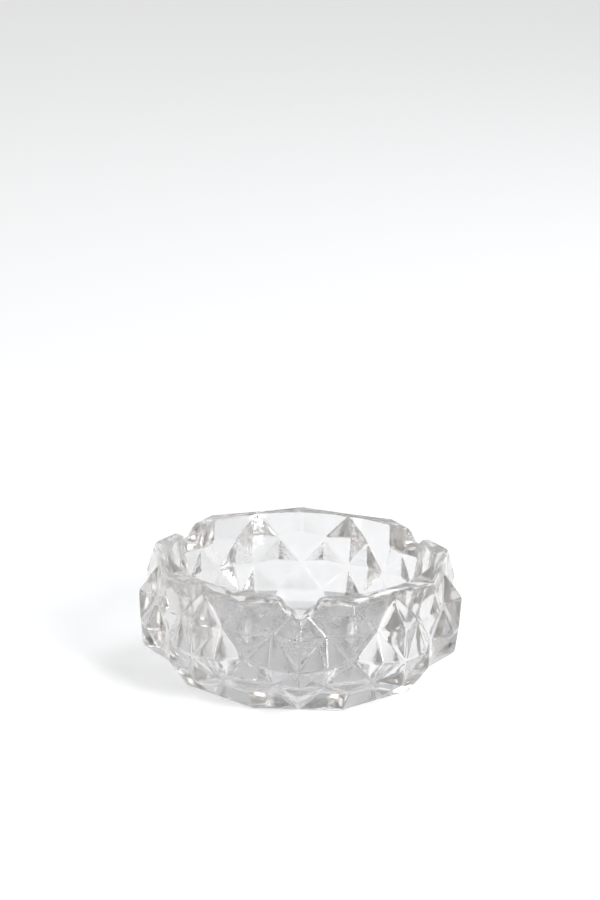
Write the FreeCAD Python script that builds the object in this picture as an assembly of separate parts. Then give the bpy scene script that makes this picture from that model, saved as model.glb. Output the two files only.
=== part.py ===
import FreeCAD, Part
import math
import os

# A round dish pressed from one block of clear glass. All lengths are in millimetres.
# The dish stands on the plane z = 0 with its axis on Z, and one rim notch faces -Y.

HEIGHT = 37.0

# The outside is a lattice of diamond studs, in columns STEP degrees apart. Rows of nodes and
# stud tips alternate from one column to the next, so that each row is half a stud out of step.
COLUMNS = 36
STEP = 360 / COLUMNS
FRONT = 270

# Nine corners make the rim and the foot nonagons. A corner lies on every fourth column.
CORNER_EVERY = 4
CORNER_OFFSET = 2

# Rim outline: it comes out to the corners and draws in halfway between them.
RIM_CORNER_R = 45.5
RIM_HOLLOW_R = 42.3
RIM_BEVEL_H = 1.5
RIM_BEVEL_SCALE = 0.967

# The wall's outline is turned half a side against the rim and the foot. On the columns of their
# corners it draws in to deep nodes, and halfway between, on the side columns, it stands out in
# ridges that run from the upper row to the lower row.
UPPER_SIDE_TIP_R = 49.8
UPPER_SIDE_TIP_Z = 26.4
UPPER_CORNER_TIP_R = 48.3
UPPER_CORNER_TIP_Z = 27.1
UPPER_NODE_R = 45.5
UPPER_NODE_Z = 26.8
MIDDLE_TIP_R = 49.3
MIDDLE_TIP_Z = 17.6
MIDDLE_SIDE_NODE_R = 49.2
MIDDLE_SIDE_NODE_Z = 16.7
MIDDLE_CORNER_NODE_R = 45.2
MIDDLE_CORNER_NODE_Z = 18.2
LOWER_SIDE_TIP_R = 48.2
LOWER_SIDE_TIP_Z = 8.7
LOWER_CORNER_TIP_R = 44.8
LOWER_CORNER_TIP_Z = 8.8
LOWER_NODE_R = 43.4
LOWER_NODE_Z = 10.0

# Foot outline: a straight-sided nonagon.
FOOT_CORNER_R = 38.3

# The well, a cone with a rounded lip at the top and a small fillet round the flat floor.
WELL_TOP_R = 39.6
WELL_FLOOR_R = 32.6
FLOOR_Z = 7.5
LIP_R = 1.0
FLOOR_FILLET_R = 2.4

# Three rests cut across the rim, half-round in section with rounded shoulders.
NOTCH_AZIMUTHS = (270, 30, 150)
NOTCH_DEPTH = 4.6
NOTCH_R = 5.2
SHOULDER_R = 3.0
NOTCH_START_R = 30.0
NOTCH_END_R = 60.0

# How far the cutting bodies reach past the top of the rim.
CUT_CLEARANCE = 1.0

# Underside: a shallow round recess leaves a foot ring, and a star of V flutes is pressed into it.
RECESS_R = 32.3
RECESS_DEPTH = 1.2
LONG_FLUTES = 16
LONG_FLUTE_START = -71.5
FLUTE_INNER_R = 2.0
LONG_FLUTE_R = 29.7
LONG_FLUTE_WIDTH = 6.4
SHORT_FLUTE_R = 16.0
SHORT_FLUTE_WIDTH = 2.6
LONG_FLUTE_DEPTH = 1.2
SHORT_FLUTE_DEPTH = 0.6


def polar(radius, azimuth, z):
    """A point at a radius from the axis, an azimuth in degrees and a height."""
    angle = math.radians(azimuth)
    return FreeCAD.Vector(radius * math.cos(angle), radius * math.sin(angle), z)


def on_column(radius, column, z):
    """A point on a column of the lattice. Column 0 is at the front."""
    return polar(radius, FRONT + STEP * column, z)


def is_corner(column):
    """Whether a column runs through a corner of the rim and foot nonagons."""
    return column % CORNER_EVERY == CORNER_OFFSET


def rim_node(column):
    """A point of the rim outline, under the bevel."""
    radius = RIM_CORNER_R if is_corner(column) else RIM_HOLLOW_R
    return on_column(radius, column, HEIGHT - RIM_BEVEL_H)


def land_node(column):
    """A point of the flat land on top of the rim, over the bevel."""
    radius = RIM_CORNER_R if is_corner(column) else RIM_HOLLOW_R
    return on_column(radius * RIM_BEVEL_SCALE, column, HEIGHT)


def foot_node(column):
    """A point of the foot outline: a corner, or the middle of a straight side."""
    if is_corner(column):
        return on_column(FOOT_CORNER_R, column, 0)
    half_side = math.radians(STEP * CORNER_EVERY / 2)
    return on_column(FOOT_CORNER_R * math.cos(half_side), column, 0)


def upper_tip(column):
    """The tip of a stud in the upper row."""
    if is_corner(column):
        return on_column(UPPER_CORNER_TIP_R, column, UPPER_CORNER_TIP_Z)
    return on_column(UPPER_SIDE_TIP_R, column, UPPER_SIDE_TIP_Z)


def middle_tip(column):
    """The tip of a stud in the middle row."""
    return on_column(MIDDLE_TIP_R, column, MIDDLE_TIP_Z)


def lower_tip(column):
    """The tip of a stud in the lower row."""
    if is_corner(column):
        return on_column(LOWER_CORNER_TIP_R, column, LOWER_CORNER_TIP_Z)
    return on_column(LOWER_SIDE_TIP_R, column, LOWER_SIDE_TIP_Z)


def upper_node(column):
    """The low point between two studs of the upper row."""
    return on_column(UPPER_NODE_R, column, UPPER_NODE_Z)


def middle_node(column):
    """The point between two studs of the middle row: deep at a corner, on the ridge at a side."""
    if is_corner(column):
        return on_column(MIDDLE_CORNER_NODE_R, column, MIDDLE_CORNER_NODE_Z)
    return on_column(MIDDLE_SIDE_NODE_R, column, MIDDLE_SIDE_NODE_Z)


def lower_node(column):
    """The low point between two studs of the lower row."""
    return on_column(LOWER_NODE_R, column, LOWER_NODE_Z)


def flat_face(points):
    """A flat face with the given corners."""
    return Part.Face(Part.makePolygon(points + points[:1]))


def stud(tip, above, right, below, left):
    """The four facets that meet at a stud's tip."""
    around = [above, right, below, left]
    pairs = zip(around, around[1:] + around[:1])
    return [flat_face([tip, a, b]) for a, b in pairs]


def even_column_facets(column):
    """The upper and lower studs of one even column, and the rim bevel to its right."""
    right = column + 1
    left = column - 1
    faces = stud(
        upper_tip(column), rim_node(column), upper_node(right), middle_node(column), upper_node(left)
    )
    faces += stud(
        lower_tip(column), middle_node(column), lower_node(right), foot_node(column), lower_node(left)
    )
    following = column + 2
    faces.append(
        flat_face([rim_node(column), rim_node(following), land_node(following), land_node(column)])
    )
    return faces


def odd_column_facets(column):
    """The middle stud of one odd column, and the half diamonds under the rim and over the foot."""
    right = column + 1
    left = column - 1
    faces = stud(
        middle_tip(column), upper_node(column), middle_node(right), lower_node(column), middle_node(left)
    )
    faces.append(flat_face([rim_node(left), rim_node(right), upper_node(column)]))
    faces.append(flat_face([foot_node(left), lower_node(column), foot_node(right)]))
    return faces


def studded_block():
    """The solid block with the studded outside, before the well is taken out."""
    even_columns = list(range(0, COLUMNS, 2))
    faces = [flat_face([land_node(c) for c in even_columns])]
    faces.append(flat_face([foot_node(c) for c in even_columns]))
    for column in even_columns:
        faces += even_column_facets(column)
        faces += odd_column_facets(column + 1)
    shell = Part.makeShell(faces)
    shell.sewShape()
    solid = Part.makeSolid(shell)
    if solid.Volume < 0:
        solid.reverse()
    return solid


def wall_point(z):
    """A point of the well's wall, on its straight slope, in the plane y = 0."""
    share = (z - FLOOR_Z) / (HEIGHT - FLOOR_Z)
    return FreeCAD.Vector(WELL_FLOOR_R + share * (WELL_TOP_R - WELL_FLOOR_R), 0, z)


def arc_middle(start, end, centre, radius):
    """The middle of the shorter arc between two points of a circle."""
    halfway = (start + end) * 0.5 - centre
    halfway.normalize()
    return centre + halfway * radius


def well():
    """The open space inside the dish, with the lip and the floor fillet in its profile."""
    slope = math.atan2(WELL_TOP_R - WELL_FLOOR_R, HEIGHT - FLOOR_Z)
    into_glass = FreeCAD.Vector(math.cos(slope), 0, -math.sin(slope))
    lip_centre = wall_point(HEIGHT - LIP_R) + FreeCAD.Vector(LIP_R / math.cos(slope), 0, 0)
    lip_low = lip_centre - into_glass * LIP_R
    lip_high = FreeCAD.Vector(lip_centre.x, 0, HEIGHT)
    fillet_shift = FreeCAD.Vector(FLOOR_FILLET_R / math.cos(slope), 0, 0)
    fillet_centre = wall_point(FLOOR_Z + FLOOR_FILLET_R) - fillet_shift
    fillet_high = fillet_centre + into_glass * FLOOR_FILLET_R
    fillet_low = FreeCAD.Vector(fillet_centre.x, 0, FLOOR_Z)
    above = HEIGHT + CUT_CLEARANCE
    axis_low = FreeCAD.Vector(0, 0, FLOOR_Z)
    axis_high = FreeCAD.Vector(0, 0, above)
    outer_high = FreeCAD.Vector(lip_high.x, 0, above)
    fillet_middle = arc_middle(fillet_low, fillet_high, fillet_centre, FLOOR_FILLET_R)
    lip_middle = arc_middle(lip_low, lip_high, lip_centre, LIP_R)
    edges = [
        Part.makeLine(axis_low, fillet_low),
        Part.Arc(fillet_low, fillet_middle, fillet_high).toShape(),
        Part.makeLine(fillet_high, lip_low),
        Part.Arc(lip_low, lip_middle, lip_high).toShape(),
        Part.makeLine(lip_high, outer_high),
        Part.makeLine(outer_high, axis_high),
        Part.makeLine(axis_high, axis_low),
    ]
    profile = Part.Face(Part.Wire(edges))
    return profile.revolve(FreeCAD.Vector(0, 0, 0), FreeCAD.Vector(0, 0, 1), 360)


def notch(azimuth):
    """The space one rest takes out of the rim, lying along a radius at the azimuth."""
    trough_z = HEIGHT - NOTCH_DEPTH + NOTCH_R
    shoulder_z = HEIGHT - SHOULDER_R
    centre_gap = NOTCH_R + SHOULDER_R
    shoulder_y = math.sqrt(centre_gap**2 - (trough_z - shoulder_z) ** 2)
    trough_centre = FreeCAD.Vector(NOTCH_START_R, 0, trough_z)
    bottom = FreeCAD.Vector(NOTCH_START_R, 0, trough_z - NOTCH_R)
    above = HEIGHT + CUT_CLEARANCE
    ends = {}
    shoulders = {}
    for side in (-1, 1):
        shoulder_centre = FreeCAD.Vector(NOTCH_START_R, side * shoulder_y, shoulder_z)
        joint = trough_centre + (shoulder_centre - trough_centre) * (NOTCH_R / centre_gap)
        top = FreeCAD.Vector(NOTCH_START_R, side * shoulder_y, HEIGHT)
        middle = arc_middle(joint, top, shoulder_centre, SHOULDER_R)
        shoulders[side] = Part.Arc(joint, middle, top).toShape()
        ends[side] = (joint, top)
    high = {side: FreeCAD.Vector(NOTCH_START_R, side * shoulder_y, above) for side in (-1, 1)}
    edges = [
        Part.Arc(ends[-1][0], bottom, ends[1][0]).toShape(),
        shoulders[1],
        Part.makeLine(ends[1][1], high[1]),
        Part.makeLine(high[1], high[-1]),
        Part.makeLine(high[-1], ends[-1][1]),
        shoulders[-1],
    ]
    profile = Part.Face(Part.Wire(Part.__sortEdges__(edges)))
    trough = profile.extrude(FreeCAD.Vector(NOTCH_END_R - NOTCH_START_R, 0, 0))
    trough.rotate(FreeCAD.Vector(0, 0, 0), FreeCAD.Vector(0, 0, 1), azimuth)
    return trough


def flute(azimuth, outer_r, width, depth):
    """One ray of the star: a V groove that widens and deepens outwards to a square end.

    The cutter is twice as wide and deep as the groove, so that half of it hangs clear of the glass.
    """
    ceiling = RECESS_DEPTH
    start = FreeCAD.Vector(FLUTE_INNER_R, 0, ceiling)
    crest = FreeCAD.Vector(outer_r, 0, ceiling + depth)
    left = FreeCAD.Vector(outer_r, width, ceiling - depth)
    right = FreeCAD.Vector(outer_r, -width, ceiling - depth)
    faces = [
        flat_face([start, crest, left]),
        flat_face([start, right, crest]),
        flat_face([start, left, right]),
        flat_face([crest, right, left]),
    ]
    ray = Part.makeSolid(Part.makeShell(faces))
    if ray.Volume < 0:
        ray.reverse()
    ray.rotate(FreeCAD.Vector(0, 0, 0), FreeCAD.Vector(0, 0, 1), azimuth)
    return ray


def star():
    """All the rays of the star, long and short in turn."""
    pitch = 360 / LONG_FLUTES
    rays = []
    for index in range(LONG_FLUTES):
        azimuth = LONG_FLUTE_START + index * pitch
        rays.append(flute(azimuth, LONG_FLUTE_R, LONG_FLUTE_WIDTH, LONG_FLUTE_DEPTH))
        rays.append(flute(azimuth + pitch / 2, SHORT_FLUTE_R, SHORT_FLUTE_WIDTH, SHORT_FLUTE_DEPTH))
    return rays


def glass_dish():
    """The finished dish, one solid piece of glass."""
    solid = studded_block()
    solid = solid.cut(well())
    solid = solid.cut([notch(azimuth) for azimuth in NOTCH_AZIMUTHS])
    solid = solid.cut(Part.makeCylinder(RECESS_R, RECESS_DEPTH))
    solid = solid.cut(star())
    return solid.Solids[0]


os.makedirs("parts", exist_ok=True)
dish = glass_dish()
dish.exportStep("parts/glass_dish.step")
box = dish.BoundBox
print("glass_dish", dish.ShapeType, "valid", dish.isValid(), "volume", round(dish.Volume))
print("box", [round(v, 3) for v in (box.XMin, box.YMin, box.ZMin, box.XMax, box.YMax, box.ZMax)])
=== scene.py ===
import math

import bmesh
import bpy
from mathutils import Matrix, Vector
from mathutils.bvhtree import BVHTree


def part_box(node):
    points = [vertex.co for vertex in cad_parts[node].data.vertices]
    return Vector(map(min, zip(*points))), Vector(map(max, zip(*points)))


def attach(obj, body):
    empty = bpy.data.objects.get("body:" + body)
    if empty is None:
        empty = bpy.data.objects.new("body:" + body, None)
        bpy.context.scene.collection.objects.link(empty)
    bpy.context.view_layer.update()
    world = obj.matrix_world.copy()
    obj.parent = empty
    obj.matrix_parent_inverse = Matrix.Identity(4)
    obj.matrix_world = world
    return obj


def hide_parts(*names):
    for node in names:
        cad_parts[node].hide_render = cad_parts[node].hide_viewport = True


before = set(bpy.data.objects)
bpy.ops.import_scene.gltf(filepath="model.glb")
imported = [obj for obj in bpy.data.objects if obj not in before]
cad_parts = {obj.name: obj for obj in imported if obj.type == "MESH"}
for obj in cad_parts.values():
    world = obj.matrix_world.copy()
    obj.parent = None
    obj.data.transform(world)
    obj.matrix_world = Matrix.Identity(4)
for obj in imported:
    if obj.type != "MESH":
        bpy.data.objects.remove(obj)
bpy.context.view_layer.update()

# The dish is built in millimetres, round the Z axis, and scaled to the frame's metres at the end.
MM = 0.001
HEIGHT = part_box("glass_dish")[1][2] / MM

# Lattice of studs: columns STEP degrees apart, counted from the front.
COLUMNS = 36
STEP = 360 / COLUMNS
FRONT = 270
CORNER_EVERY = 4
CORNER_OFFSET = 2

RIM_CORNER_R = 45.5
RIM_HOLLOW_R = 42.3
UPPER_SIDE_TIP_R = 49.8
UPPER_SIDE_TIP_Z = 26.4
UPPER_CORNER_TIP_R = 48.3
UPPER_CORNER_TIP_Z = 27.1
UPPER_NODE_R = 45.5
UPPER_NODE_Z = 26.8
MIDDLE_TIP_R = 49.3
MIDDLE_TIP_Z = 17.6
MIDDLE_SIDE_NODE_R = 49.2
MIDDLE_SIDE_NODE_Z = 16.7
MIDDLE_CORNER_NODE_R = 45.2
MIDDLE_CORNER_NODE_Z = 18.2
LOWER_SIDE_TIP_R = 48.2
LOWER_SIDE_TIP_Z = 8.7
LOWER_CORNER_TIP_R = 44.8
LOWER_CORNER_TIP_Z = 8.8
LOWER_NODE_R = 43.4
LOWER_NODE_Z = 10.0
FOOT_CORNER_R = 38.3

# Well, rests and underside.
WELL_TOP_R = 39.6
WELL_FLOOR_R = 32.6
FLOOR_Z = 7.5
LIP_R = 1.0
FLOOR_FILLET_R = 2.4
NOTCH_AZIMUTHS = (270, 30, 150)
NOTCH_DEPTH = 4.6
NOTCH_R = 5.2
SHOULDER_R = 3.0
RECESS_R = 32.3
RECESS_DEPTH = 1.2
LONG_FLUTES = 16
LONG_FLUTE_START = -71.5
FLUTE_INNER_R = 2.0
LONG_FLUTE_R = 29.7
LONG_FLUTE_WIDTH = 6.4
SHORT_FLUTE_R = 16.0
SHORT_FLUTE_WIDTH = 2.6
LONG_FLUTE_DEPTH = 1.2
SHORT_FLUTE_DEPTH = 0.6

# Softening that pressed and fire-polished glass has, in millimetres. A rest is flared by
# OUTER_ROUND where it meets the studded wall, and by INNER_ROUND where it meets the well.
RIDGE_ROUND = 0.75
RIM_ROUND = 2.0
OUTER_ROUND = 1.5
INNER_ROUND = 0.7
RECESS_ROUND = 0.8
FOOT_ROUND = 0.4
SMOOTH_ANGLE = math.radians(12)
SHARP_ANGLE = math.radians(45)
LARGE_FACES_FIRST = 100
ROUND_PROFILE = 0.5

# Into how many pieces a full circle and each small arc are divided.
CIRCLE_STEPS = 288
TROUGH_STEPS = 24
FILLET_STEPS = 10
SHOULDER_STEPS = 8
LIP_STEPS = 6
FLARE_STEPS = 5
RIM_STEPS = 5
RIDGE_STEPS = 2

# How far a cutter stands out above the rim, below the foot and past either wall, and how far
# apart two heights or radii still count as the same.
ABOVE = 6
BELOW = 2
CLEAR = 5
TOUCH = 0.01

# Glass. The painted shade in the flutes ends at CLEAR_AGAIN, where 1 is twice as high as the deepest
# flute.
# Waves and grain are bump, with their scale per metre and their height in metres. The underside
# is dull up to one height and polished above another, in millimetres.
GLASS_COLOUR = (0.87, 0.87, 0.875, 1)
# The next colour is painted shade: darker glass in the star's flutes that stands in for the shadow
# lines the flutes cast.
FLUTE_SHADE_COLOUR = (0.48, 0.48, 0.485, 1)
CLEAR_AGAIN = 0.6
ABSORB_COLOUR = (0.91, 0.9, 0.888, 1)
ABSORB_DENSITY = 32
GLASS_IOR = 1.52
WAVE_SCALE = 60
WAVE_DETAIL = 1
WAVE_HEIGHT = 0.0004
GRAIN_SCALE = 700
GRAIN_DETAIL = 3
GRAIN_HEIGHT = 0.00004
SMEAR_FROM = 0.35
SMEAR_TO = 0.7
SMEAR_ROUGHNESS = 0.03
UNDERSIDE_ROUGHNESS = 0.04
DULL_BELOW = 1.6
POLISHED_ABOVE = 2.8

# Studio, in metres: the surroundings, as a colour at each step from low behind the dish (0) to
# high on the camera's side (1), and the softboxes, as name, place, width, height, power and colour.
TABLE_HALF = 6
TABLE_GAP = 0.0002
TABLE_COLOUR = (0.9, 0.9, 0.9, 1)
TABLE_ROUGHNESS = 0.9
TABLE_GLOSS = 0.1
TABLE_GLOW = 0.44
ROOM_DIRECTION = (0, -0.7, 0.7)
ROOM_STEPS = [
    (0.0, (0.9, 0.9, 0.9, 1)),
    (0.45, (0.8, 0.84, 0.9, 1)),
    (0.62, (0.38, 0.38, 0.37, 1)),
    (1.0, (0.15, 0.14, 0.13, 1)),
]
WORLD_STRENGTH = 0.8
SOFTBOXES = [
    ("key", (0.5, 0.45, 0.95), 0.42, 0.42, 3, (0.94, 0.97, 1.0)),
    ("window", (0.55, -0.6, 0.4), 0.2, 0.6, 6, (0.97, 0.985, 1.0)),
    ("fill", (-0.6, -0.5, 0.35), 0.12, 0.5, 1, (1.0, 1.0, 1.0)),
]

# Camera.
TARGET_Z = 0.018
CAMERA_DISTANCE = 0.857
CAMERA_ELEVATION = 20.17
CAMERA_LENS = 112
CAMERA_SENSOR = 36
CAMERA_NEAR = 0.05
CAMERA_ROLL = 1.37
CAMERA_LIFT = 3.28

# How often light is followed through the glass.
BOUNCES = 24
GLOSSY_BOUNCES = 16


def polar(radius, azimuth, z):
    """A point at a radius from the axis, an azimuth in degrees and a height."""
    angle = math.radians(azimuth)
    return Vector((radius * math.cos(angle), radius * math.sin(angle), z))


def on_column(radius, column, z):
    """A point on a column of the lattice. Column 0 is at the front."""
    return polar(radius, FRONT + STEP * column, z)


def is_corner(column):
    """Whether a column runs through a corner of the rim and foot nonagons."""
    return column % CORNER_EVERY == CORNER_OFFSET


def rim_node(column):
    radius = RIM_CORNER_R if is_corner(column) else RIM_HOLLOW_R
    return on_column(radius, column, HEIGHT)


def foot_node(column):
    half_side = math.radians(STEP * CORNER_EVERY / 2)
    radius = FOOT_CORNER_R if is_corner(column) else FOOT_CORNER_R * math.cos(half_side)
    return on_column(radius, column, 0)


def upper_tip(column):
    if is_corner(column):
        return on_column(UPPER_CORNER_TIP_R, column, UPPER_CORNER_TIP_Z)
    return on_column(UPPER_SIDE_TIP_R, column, UPPER_SIDE_TIP_Z)


def middle_tip(column):
    return on_column(MIDDLE_TIP_R, column, MIDDLE_TIP_Z)


def lower_tip(column):
    if is_corner(column):
        return on_column(LOWER_CORNER_TIP_R, column, LOWER_CORNER_TIP_Z)
    return on_column(LOWER_SIDE_TIP_R, column, LOWER_SIDE_TIP_Z)


def upper_node(column):
    return on_column(UPPER_NODE_R, column, UPPER_NODE_Z)


def middle_node(column):
    if is_corner(column):
        return on_column(MIDDLE_CORNER_NODE_R, column, MIDDLE_CORNER_NODE_Z)
    return on_column(MIDDLE_SIDE_NODE_R, column, MIDDLE_SIDE_NODE_Z)


def lower_node(column):
    return on_column(LOWER_NODE_R, column, LOWER_NODE_Z)


def stud(tip, above, right, below, left):
    """The four facets that meet at a stud's tip."""
    around = [above, right, below, left]
    return [[tip, b, a] for a, b in zip(around, around[1:] + around[:1])]


def facets():
    """All the flat faces of the outside, each as a list of its corners."""
    even_columns = range(0, COLUMNS, 2)
    faces = [[rim_node(c) for c in even_columns], [foot_node(c) for c in reversed(even_columns)]]
    for column in range(COLUMNS):
        right = (column + 1) % COLUMNS
        left = (column - 1) % COLUMNS
        if column % 2:
            faces += stud(middle_tip(column), upper_node(column), middle_node(right),
                          lower_node(column), middle_node(left))
            faces.append([rim_node(left), upper_node(column), rim_node(right)])
            faces.append([foot_node(left), foot_node(right), lower_node(column)])
        else:
            faces += stud(upper_tip(column), rim_node(column), upper_node(right),
                          middle_node(column), upper_node(left))
            faces += stud(lower_tip(column), middle_node(column), lower_node(right),
                          foot_node(column), lower_node(left))
    return faces


def studded_block():
    """The faceted outside as a closed bmesh. Facets share the corners where they meet."""
    bm = bmesh.new()
    corners = {}
    for facet in facets():
        verts = []
        for point in facet:
            key = point.copy().freeze()
            if key not in corners:
                corners[key] = bm.verts.new(point)
            verts.append(corners[key])
        bm.faces.new(verts)
    bmesh.ops.recalc_face_normals(bm, faces=bm.faces)
    return bm


def round_edges(bm, edges, width, segments):
    """Rounds the given edges."""
    bmesh.ops.bevel(bm, geom=edges, offset=width, offset_type="OFFSET", segments=segments,
                    profile=ROUND_PROFILE, affect="EDGES", clamp_overlap=True, miter_outer="ARC")


def new_object(name, bm):
    """Turns a bmesh into an object of the scene."""
    mesh = bpy.data.meshes.new(name)
    bm.to_mesh(mesh)
    bm.free()
    obj = bpy.data.objects.new(name, mesh)
    bpy.context.scene.collection.objects.link(obj)
    return obj


def rounded_block():
    """The studded block with its ridges and its rim rounded."""
    bm = studded_block()
    rim = [e for e in bm.edges if all(v.co.z > HEIGHT - TOUCH for v in e.verts)]
    round_edges(bm, rim, RIM_ROUND, RIM_STEPS)
    below_rim = HEIGHT - RIM_ROUND - TOUCH
    ridges = [e for e in bm.edges
              if e.calc_face_angle(0) > SMOOTH_ANGLE and min(v.co.z for v in e.verts) < below_rim]
    round_edges(bm, ridges, RIDGE_ROUND, RIDGE_STEPS)
    return new_object("block", bm)


def arc_points(centre, radius, start, end, count):
    """Points of an arc in the plane of the profile, from one angle to another in degrees."""
    points = []
    for index in range(count + 1):
        angle = math.radians(start + (end - start) * index / count)
        points.append((centre[0] + radius * math.cos(angle), centre[1] + radius * math.sin(angle)))
    return points


def wall_radius(z):
    """The radius of the well's wall at a height."""
    return WELL_FLOOR_R + (z - FLOOR_Z) / (HEIGHT - FLOOR_Z) * (WELL_TOP_R - WELL_FLOOR_R)


def well_profile():
    """The well from the axis outwards and up: floor, fillet, wall and lip."""
    slope = math.atan2(WELL_TOP_R - WELL_FLOOR_R, HEIGHT - FLOOR_Z)
    lean = math.degrees(slope)
    lip_z = HEIGHT - LIP_R
    lip_centre = (wall_radius(lip_z) + LIP_R / math.cos(slope), lip_z)
    fillet_z = FLOOR_Z + FLOOR_FILLET_R
    fillet_centre = (wall_radius(fillet_z) - FLOOR_FILLET_R / math.cos(slope), fillet_z)
    profile = arc_points(fillet_centre, FLOOR_FILLET_R, -90, -lean, FILLET_STEPS)
    profile += arc_points(lip_centre, LIP_R, 180 - lean, 90, LIP_STEPS)
    profile.append((lip_centre[0], HEIGHT + ABOVE))
    return profile


def recess_profile():
    """The shallow recess under the floor, flared at the foot ring and rounded into its ceiling."""
    flare = arc_points((RECESS_R + FOOT_ROUND, FOOT_ROUND), FOOT_ROUND, 270, 180, FLARE_STEPS)
    ceiling_centre = (RECESS_R - RECESS_ROUND, RECESS_DEPTH - RECESS_ROUND)
    ceiling = arc_points(ceiling_centre, RECESS_ROUND, 0, 90, LIP_STEPS)
    return [(RECESS_R + FOOT_ROUND, -BELOW)] + flare + ceiling


def turned(name, profile):
    """A body of revolution from a profile of (radius, z), closed with discs at both ends."""
    bm = bmesh.new()
    around = [360 * i / CIRCLE_STEPS for i in range(CIRCLE_STEPS)]
    skin(bm, [[polar(radius, azimuth, z) for azimuth in around] for radius, z in profile])
    return new_object(name, bm)


def notch_profile(flare):
    """The section of a rest as (across, z): trough, shoulders and open top, widened by a flare."""
    trough_z = HEIGHT - NOTCH_DEPTH + NOTCH_R
    shoulder_z = HEIGHT - SHOULDER_R
    across = math.sqrt((NOTCH_R + SHOULDER_R) ** 2 - (trough_z - shoulder_z) ** 2)
    joint = math.degrees(math.atan2(shoulder_z - trough_z, across))
    right_shoulder = arc_points((across, shoulder_z), SHOULDER_R - flare, 180 + joint, 90,
                                SHOULDER_STEPS)
    trough = arc_points((0, trough_z), NOTCH_R + flare, -180 - joint, joint, TROUGH_STEPS)
    left_shoulder = [(-x, z) for x, z in reversed(right_shoulder)]
    outline = left_shoulder[:-1] + trough + right_shoulder[1:]
    outline.append((across, HEIGHT + ABOVE))
    outline.append((-across, HEIGHT + ABOVE))
    return outline


def flare_steps(round_r):
    """Depth below a surface and the flare there, along a quarter circle, from the surface inwards."""
    steps = []
    for index in range(FLARE_STEPS + 1):
        turn = math.pi / 2 * index / FLARE_STEPS
        steps.append((round_r * (1 - math.cos(turn)), round_r * (1 - math.sin(turn))))
    return steps


def notch_cutter():
    """The space that the front rest takes out of the rim, flared where it meets either wall."""
    block = studded_block()
    outside = BVHTree.FromBMesh(block)
    block.free()

    def inner_y(x, z):
        return -math.sqrt(wall_radius(min(z, HEIGHT)) ** 2 - x**2)

    def outer_y(x, z):
        start = Vector((x, 0, min(z, HEIGHT - TOUCH)))
        return outside.ray_cast(start, Vector((0, -1, 0)))[0].y

    rings = [[(x, inner_y(x, z) + CLEAR, z) for x, z in notch_profile(INNER_ROUND)]]
    for depth, flare in flare_steps(INNER_ROUND):
        rings.append([(x, inner_y(x, z) - depth, z) for x, z in notch_profile(flare)])
    for depth, flare in reversed(flare_steps(OUTER_ROUND)):
        rings.append([(x, outer_y(x, z) + depth, z) for x, z in notch_profile(flare)])
    rings.append([(x, outer_y(x, z) - CLEAR, z) for x, z in notch_profile(OUTER_ROUND)])
    bm = bmesh.new()
    skin(bm, rings)
    return new_object("notch", bm)


def skin(bm, rings):
    """Joins a row of rings of points, all with the same count, into a closed solid."""
    loops = [[bm.verts.new(point) for point in ring] for ring in rings]
    count = len(loops[0])
    for one, other in zip(loops, loops[1:]):
        for i in range(count):
            j = (i + 1) % count
            bm.faces.new([one[i], one[j], other[j], other[i]])
    bm.faces.new(list(reversed(loops[0])))
    bm.faces.new(loops[-1])
    bmesh.ops.recalc_face_normals(bm, faces=bm.faces)


def add_flute(bm, azimuth, outer_r, width, depth):
    """One ray of the star, as a closed wedge that hangs half out of the glass."""
    turn = Matrix.Rotation(math.radians(azimuth), 4, "Z")
    corners = [(FLUTE_INNER_R, 0, RECESS_DEPTH), (outer_r, 0, RECESS_DEPTH + depth),
               (outer_r, width, RECESS_DEPTH - depth), (outer_r, -width, RECESS_DEPTH - depth)]
    start, crest, left, right = [bm.verts.new(turn @ Vector(c)) for c in corners]
    bm.faces.new([start, crest, left])
    bm.faces.new([start, right, crest])
    bm.faces.new([start, left, right])
    bm.faces.new([crest, right, left])


def star_cutter():
    """All the rays of the star, long and short in turn."""
    bm = bmesh.new()
    pitch = 360 / LONG_FLUTES
    for index in range(LONG_FLUTES):
        azimuth = LONG_FLUTE_START + index * pitch
        add_flute(bm, azimuth, LONG_FLUTE_R, LONG_FLUTE_WIDTH, LONG_FLUTE_DEPTH)
        add_flute(bm, azimuth + pitch / 2, SHORT_FLUTE_R, SHORT_FLUTE_WIDTH, SHORT_FLUTE_DEPTH)
    bmesh.ops.recalc_face_normals(bm, faces=bm.faces)
    return new_object("star", bm)


def cut_away(obj, cutter):
    """Takes a cutter's space out of an object, and removes the cutter."""
    cut = obj.modifiers.new("cut", "BOOLEAN")
    cut.operation = "DIFFERENCE"
    cut.solver = "EXACT"
    cut.object = cutter
    apply_modifiers(obj)
    bpy.data.objects.remove(cutter)


def apply_modifiers(obj):
    """Replaces an object's mesh with the result of its modifiers."""
    graph = bpy.context.evaluated_depsgraph_get()
    mesh = bpy.data.meshes.new_from_object(obj.evaluated_get(graph))
    obj.modifiers.clear()
    obj.data = mesh


def dish_mesh():
    """The whole dish, with every cut made and its edges softened."""
    dish = rounded_block()
    cut_away(dish, turned("well", well_profile()))
    for azimuth in NOTCH_AZIMUTHS:
        notch = notch_cutter()
        notch.data.transform(Matrix.Rotation(math.radians(azimuth - FRONT), 4, "Z"))
        cut_away(dish, notch)
    cut_away(dish, turned("recess", recess_profile()))
    cut_away(dish, star_cutter())
    return dish


def keep_flutes_sharp(mesh):
    """Marks every edge in the star under the floor as sharp, shallow as the flutes are."""
    ceiling = (RECESS_DEPTH - TOUCH) * MM
    top = (RECESS_DEPTH + LONG_FLUTE_DEPTH + TOUCH) * MM
    reach = (RECESS_R - RECESS_ROUND - TOUCH) * MM
    for edge in mesh.edges:
        ends = [mesh.vertices[index].co for index in edge.vertices]
        if all(ceiling < end.z < top and end.xy.length < reach for end in ends):
            edge.use_edge_sharp = True


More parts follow.
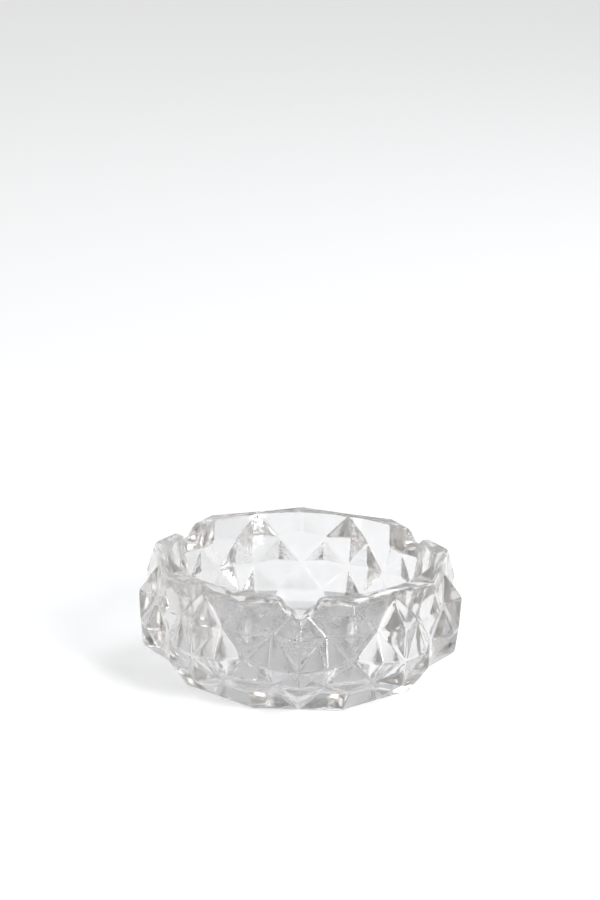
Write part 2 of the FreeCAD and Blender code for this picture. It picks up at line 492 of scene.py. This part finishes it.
def soften_shading(obj):
    """Shades the round parts smoothly and keeps the facets flat."""
    obj.data.shade_smooth()
    obj.data.set_sharp_from_angle(angle=SHARP_ANGLE)
    keep_flutes_sharp(obj.data)
    weighted = obj.modifiers.new("weighted_normals", "WEIGHTED_NORMAL")
    weighted.mode = "FACE_AREA"
    weighted.weight = LARGE_FACES_FIRST
    weighted.keep_sharp = True
    apply_modifiers(obj)


def node(tree, kind, **inputs):
    """Adds a node and sets its inputs by name."""
    made = tree.nodes.new(kind)
    for name, value in inputs.items():
        made.inputs[name.replace("_", " ")].default_value = value
    return made


def operator(tree, kind, operation):
    """Adds a math node of either kind that does the given operation."""
    made = tree.nodes.new(kind)
    made.operation = operation
    return made


def painted_flute_shade(tree, height):
    """Painted shade by height: clear up to the recess's ceiling, darkest at the deepest flutes."""
    deepest = RECESS_DEPTH + LONG_FLUTE_DEPTH
    share = node(tree, "ShaderNodeMapRange", From_Max=2 * deepest * MM)
    ramp = node(tree, "ShaderNodeValToRGB")
    steps = ramp.color_ramp.elements
    steps[0].position, steps[0].color = RECESS_DEPTH / deepest / 2, GLASS_COLOUR
    steps[1].position, steps[1].color = 0.5, FLUTE_SHADE_COLOUR
    steps.new(CLEAR_AGAIN).color = GLASS_COLOUR
    tree.links.new(height, share.inputs["Value"])
    tree.links.new(share.outputs["Result"], ramp.inputs["Fac"])
    return ramp.outputs["Color"]


def tint_with_flute_shade(tree, place, height):
    """The glass's tint, with painted shade that darkens it towards the bottoms of the star's flutes."""
    # Inside the recess, painted shade that darkens the flutes replaces the glass's tint.
    plan = operator(tree, "ShaderNodeVectorMath", "MULTIPLY")
    plan.inputs[1].default_value = (1, 1, 0)
    radius = operator(tree, "ShaderNodeVectorMath", "LENGTH")
    within = operator(tree, "ShaderNodeMath", "LESS_THAN")
    within.inputs[1].default_value = (RECESS_R - RECESS_ROUND) * MM
    mix = tree.nodes.new("ShaderNodeMix")
    mix.data_type = "RGBA"
    mix.inputs["A"].default_value = GLASS_COLOUR
    tree.links.new(place, plan.inputs[0])
    tree.links.new(plan.outputs["Vector"], radius.inputs[0])
    tree.links.new(radius.outputs["Value"], within.inputs[0])
    tree.links.new(within.outputs["Value"], mix.inputs["Factor"])
    tree.links.new(painted_flute_shade(tree, height), mix.inputs["B"])
    return mix.outputs["Result"]


def glass_bump(tree, place, waves):
    """Slow waves from the mould, with a fine grain on top of them."""
    grain = node(tree, "ShaderNodeTexNoise", Scale=GRAIN_SCALE, Detail=GRAIN_DETAIL)
    wave_bump = node(tree, "ShaderNodeBump", Strength=1, Distance=WAVE_HEIGHT)
    grain_bump = node(tree, "ShaderNodeBump", Strength=1, Distance=GRAIN_HEIGHT)
    tree.links.new(place, grain.inputs["Vector"])
    tree.links.new(waves, wave_bump.inputs["Height"])
    tree.links.new(grain.outputs["Fac"], grain_bump.inputs["Height"])
    tree.links.new(wave_bump.outputs["Normal"], grain_bump.inputs["Normal"])
    return grain_bump.outputs["Normal"]


def glass_roughness(tree, height, waves):
    """Polished but for a faint smear on the crests of the waves, and duller on the underside."""
    underside = node(tree, "ShaderNodeMapRange", From_Min=POLISHED_ABOVE * MM, From_Max=DULL_BELOW * MM)
    smear = node(tree, "ShaderNodeMapRange", From_Min=SMEAR_FROM, From_Max=SMEAR_TO,
                 To_Max=SMEAR_ROUGHNESS)
    total = operator(tree, "ShaderNodeMath", "MULTIPLY_ADD")
    total.inputs[1].default_value = UNDERSIDE_ROUGHNESS
    tree.links.new(height, underside.inputs["Value"])
    tree.links.new(waves, smear.inputs["Value"])
    tree.links.new(underside.outputs["Result"], total.inputs[0])
    tree.links.new(smear.outputs["Result"], total.inputs[2])
    return total.outputs["Value"]


def clear_glass():
    """Clear pressed glass, with its tint, painted shade in its flutes, its mould's waves and grain, and
    its polish.
    """
    material = bpy.data.materials.new("clear_glass")
    material.use_nodes = True
    tree = material.node_tree
    shader = tree.nodes["Principled BSDF"]
    shader.inputs["Transmission Weight"].default_value = 1
    shader.inputs["IOR"].default_value = GLASS_IOR
    place = node(tree, "ShaderNodeTexCoord").outputs["Object"]
    split = node(tree, "ShaderNodeSeparateXYZ")
    noise = node(tree, "ShaderNodeTexNoise", Scale=WAVE_SCALE, Detail=WAVE_DETAIL)
    tree.links.new(place, split.inputs["Vector"])
    tree.links.new(place, noise.inputs["Vector"])
    height = split.outputs["Z"]
    waves = noise.outputs["Fac"]
    # The base colour is the glass's tint, with painted shade in the star's flutes.
    tree.links.new(tint_with_flute_shade(tree, place, height), shader.inputs["Base Color"])
    tree.links.new(glass_bump(tree, place, waves), shader.inputs["Normal"])
    tree.links.new(glass_roughness(tree, height, waves), shader.inputs["Roughness"])
    body = node(tree, "ShaderNodeVolumeAbsorption", Color=ABSORB_COLOUR, Density=ABSORB_DENSITY)
    tree.links.new(body.outputs["Volume"], tree.nodes["Material Output"].inputs["Volume"])
    return material


def finished_dish():
    """The dish in the frame's metres, with its shading and its glass."""
    obj = dish_mesh()
    obj.data.transform(Matrix.Scale(MM, 4))
    soften_shading(obj)
    obj.name = "cut_glass_dish"
    obj.data.materials.clear()
    obj.data.materials.append(clear_glass())
    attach(obj, "root")
    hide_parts("glass_dish")


def white_table():
    """A plain white table top, just under the foot, with a little glow that lifts the shadows."""
    bm = bmesh.new()
    bmesh.ops.create_grid(bm, x_segments=1, y_segments=1, size=TABLE_HALF)
    obj = new_object("table", bm)
    obj.location.z = -TABLE_GAP
    material = bpy.data.materials.new("white_table")
    material.use_nodes = True
    tree = material.node_tree
    shader = tree.nodes["Principled BSDF"]
    shader.inputs["Base Color"].default_value = TABLE_COLOUR
    shader.inputs["Roughness"].default_value = TABLE_ROUGHNESS
    shader.inputs["Specular IOR Level"].default_value = TABLE_GLOSS
    shader.inputs["Emission Color"].default_value = (1, 1, 1, 1)
    shader.inputs["Emission Strength"].default_value = TABLE_GLOW
    obj.data.materials.append(material)


def studio_world():
    """White behind the dish, a cool pale grey at its sides, and a dim room above and in front."""
    world = bpy.data.worlds.new("studio")
    bpy.context.scene.world = world
    world.use_nodes = True
    tree = world.node_tree
    place = node(tree, "ShaderNodeTexCoord")
    toward = operator(tree, "ShaderNodeVectorMath", "DOT_PRODUCT")
    toward.inputs[1].default_value = Vector(ROOM_DIRECTION).normalized()
    share = node(tree, "ShaderNodeMapRange", From_Min=-1.0, From_Max=1.0)
    ramp = node(tree, "ShaderNodeValToRGB")
    steps = ramp.color_ramp.elements
    steps[0].position, steps[0].color = ROOM_STEPS[0]
    steps[1].position, steps[1].color = ROOM_STEPS[-1]
    for position, colour in ROOM_STEPS[1:-1]:
        steps.new(position).color = colour
    background = tree.nodes["Background"]
    background.inputs["Strength"].default_value = WORLD_STRENGTH
    tree.links.new(place.outputs["Generated"], toward.inputs[0])
    tree.links.new(toward.outputs["Value"], share.inputs["Value"])
    tree.links.new(share.outputs["Result"], ramp.inputs["Fac"])
    tree.links.new(ramp.outputs["Color"], background.inputs["Color"])


def softbox(name, place, width, height, power, colour):
    """A rectangular light aimed at the dish."""
    data = bpy.data.lights.new(name, "AREA")
    data.shape = "RECTANGLE"
    data.size = width
    data.size_y = height
    data.energy = power
    data.color = colour
    obj = bpy.data.objects.new(name, data)
    bpy.context.scene.collection.objects.link(obj)
    aim = Vector((0, 0, HEIGHT * MM / 2)) - Vector(place)
    obj.matrix_world = Matrix.Translation(place) @ aim.to_track_quat("-Z", "Y").to_matrix().to_4x4()


def camera():
    """A long lens at the photograph's angle. The lift sets the dish low in the frame."""
    target = Vector((0, 0, TARGET_Z))
    elevation = math.radians(CAMERA_ELEVATION)
    data = bpy.data.cameras.new("camera")
    data.lens = CAMERA_LENS
    data.sensor_width = CAMERA_SENSOR
    data.clip_start = CAMERA_NEAR
    obj = bpy.data.objects.new("camera", data)
    bpy.context.scene.collection.objects.link(obj)
    place = target + CAMERA_DISTANCE * Vector((0, -math.cos(elevation), math.sin(elevation)))
    facing = Matrix.Rotation(math.pi / 2 - elevation, 4, "X")
    roll = Matrix.Rotation(math.radians(CAMERA_ROLL), 4, "Z")
    lift = Matrix.Rotation(math.radians(CAMERA_LIFT), 4, "X")
    obj.matrix_world = Matrix.Translation(place) @ facing @ roll @ lift
    bpy.context.scene.camera = obj


finished_dish()
white_table()
studio_world()
for light in SOFTBOXES:
    softbox(*light)
camera()
scene = bpy.context.scene
scene.view_settings.view_transform = "Standard"
scene.cycles.use_denoising = True
scene.cycles.denoising_prefilter = "ACCURATE"
scene.cycles.max_bounces = BOUNCES
scene.cycles.transmission_bounces = BOUNCES
scene.cycles.glossy_bounces = GLOSSY_BOUNCES
